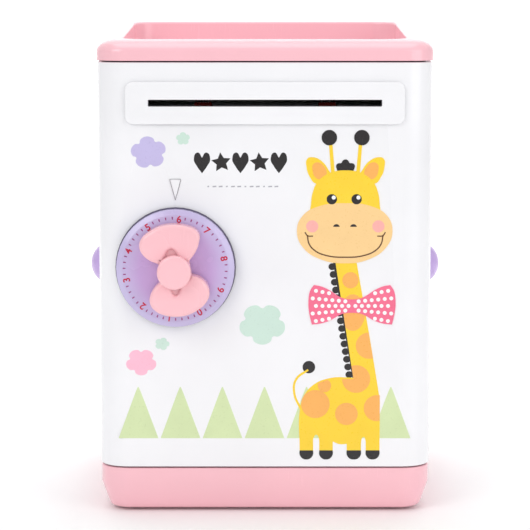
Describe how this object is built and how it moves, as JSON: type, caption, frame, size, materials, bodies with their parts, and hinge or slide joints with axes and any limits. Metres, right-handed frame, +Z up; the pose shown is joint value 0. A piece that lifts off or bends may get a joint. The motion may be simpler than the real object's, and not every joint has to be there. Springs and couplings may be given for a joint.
{
  "type": "toy safe coin bank",
  "caption": "Box-shaped toy safe money bank with a hinged front, note feed slot, combination dial, bow-shaped handle and sunk tray lid.",
  "frame": {"origin": "centre of the bounding box's bottom face, between the four feet", "axes": "+Z up; the door, dial and note slot face -Y; +X is to the right seen from the front"},
  "size_m": [0.1506, 0.144, 0.1991],
  "materials": {
    "white_shell": "glossy moulded ABS",
    "pink_shell": "glossy moulded ABS",
    "lavender": "glossy moulded ABS",
    "dial_ring": "satin",
    "inner_plastic": "plain moulded ABS",
    "black_plastic": "fine texture",
    "gear_plastic": "moulded acetal",
    "rubber": "matt",
    "steel": "plated",
    "circuit_board": "lacquered board",
    "cell_sleeve": "printed sleeve"
  },
  "bodies": {
    "case": {"case_shell": "white_shell", "base_tray": "pink_shell", "lid_cover": "pink_shell", "coin_chute": "inner_plastic", "strike_plate": "steel", "side_cap_left": "lavender", "side_cap_right": "lavender", "hinge_pin_lower": "steel", "hinge_pin_upper": "steel", "foot_front_left": "rubber", "foot_front_right": "rubber", "foot_rear_left": "rubber", "foot_rear_right": "rubber", "base_screw_front_left": "steel", "base_screw_front_right": "steel", "base_screw_rear_left": "steel", "base_screw_rear_right": "steel", "lid_screw_front_left": "steel", "lid_screw_front_right": "steel", "lid_screw_rear_left": "steel", "lid_screw_rear_right": "steel"},
    "door": {"door_panel": "white_shell", "slot_bezel": "white_shell", "dial_ring": "dial_ring", "feed_frame": "inner_plastic", "bill_guide": "inner_plastic", "idler_axle": "steel", "motor": "steel", "circuit_board": "circuit_board", "speaker": "black_plastic", "battery_box": "black_plastic", "aa_cell_lower": "cell_sleeve", "aa_cell_middle": "cell_sleeve", "aa_cell_upper": "cell_sleeve", "lock_case": "inner_plastic", "feed_screw_left": "steel", "feed_screw_right": "steel", "lock_screw_upper": "steel", "lock_screw_lower": "steel"},
    "dial": {"dial_disc": "lavender", "drive_wheel": "inner_plastic"},
    "front_code_wheel": {"code_wheel_front": "inner_plastic"},
    "rear_code_wheel": {"code_wheel_rear": "inner_plastic"},
    "handle": {"bow_loops": "pink_shell", "bow_knot": "pink_shell", "knob_shaft": "steel", "lock_cam": "inner_plastic"},
    "bolt": {"lock_bolt": "steel"},
    "fence": {"fence_lever": "inner_plastic"},
    "feed_rollers": {"feed_shaft": "steel", "feed_roller_left": "rubber", "feed_roller_right": "rubber", "drive_gear": "gear_plastic"},
    "pinch_rollers": {"pinch_shaft": "steel", "pinch_roller_left": "rubber", "pinch_roller_right": "rubber"},
    "idler": {"idler_gear": "gear_plastic"},
    "pinion": {"motor_pinion": "gear_plastic"},
    "cover": {"battery_cover": "black_plastic"},
    "switch": {"power_switch": "inner_plastic"}
  },
  "joints": [
    {"name": "door_hinge", "type": "hinge", "parent": "case", "child": "door", "pos_m": [0.0654, -0.03795, 0.1], "axis": [0, 0, 1], "range_deg": [0, 105]},
    {"name": "dial_spin", "type": "hinge", "parent": "door", "child": "dial", "pos_m": [-0.0362, -0.05375, 0.1022], "axis": [0, 1, 0], "continuous": true},
    {"name": "front_code_wheel_spin", "type": "hinge", "parent": "door", "child": "front_code_wheel", "pos_m": [-0.0362, -0.04885, 0.1022], "axis": [0, 1, 0], "continuous": true},
    {"name": "rear_code_wheel_spin", "type": "hinge", "parent": "door", "child": "rear_code_wheel", "pos_m": [-0.0362, -0.04625, 0.1022], "axis": [0, 1, 0], "continuous": true},
    {"name": "handle_turn", "type": "hinge", "parent": "door", "child": "handle", "pos_m": [-0.0362, -0.05915, 0.1022], "axis": [0, 1, 0], "range_deg": [0, 60]},
    {"name": "bolt_slide", "type": "slide", "parent": "door", "child": "bolt", "axis": [-1, 0, 0], "range_m": [0, 0.005]},
    {"name": "fence_lift", "type": "hinge", "parent": "door", "child": "fence", "pos_m": [-0.0252, -0.04885, 0.1217], "axis": [0, 1, 0], "range_deg": [0, 4]},
    {"name": "feed_spin", "type": "hinge", "parent": "door", "child": "feed_rollers", "pos_m": [0, -0.03835, 0.1614], "axis": [1, 0, 0], "continuous": true},
    {"name": "pinch_spin", "type": "hinge", "parent": "door", "child": "pinch_rollers", "pos_m": [0, -0.03835, 0.174], "axis": [1, 0, 0], "continuous": true},
    {"name": "idler_spin", "type": "hinge", "parent": "door", "child": "idler", "pos_m": [0.058, -0.03585, 0.14966], "axis": [1, 0, 0], "continuous": true},
    {"name": "pinion_spin", "type": "hinge", "parent": "door", "child": "pinion", "pos_m": [0.057, -0.03585, 0.13606], "axis": [1, 0, 0], "continuous": true},
    {"name": "battery_cover_pull", "type": "slide", "parent": "door", "child": "cover", "axis": [0, 1, 0], "range_m": [0, 0.025]},
    {"name": "power_switch_slide", "type": "slide", "parent": "door", "child": "switch", "axis": [0, 0, 1], "range_m": [0, 0.004]}
  ],
  "couplings": [
    {"joint": "handle_turn", "follows": "bolt_slide", "rad_per_m": 209.44},
    {"joint": "pinch_spin", "follows": "feed_spin", "ratio": -1.3529},
    {"joint": "idler_spin", "follows": "feed_spin", "ratio": -2},
    {"joint": "pinion_spin", "follows": "feed_spin", "ratio": 4.8}
  ]
}
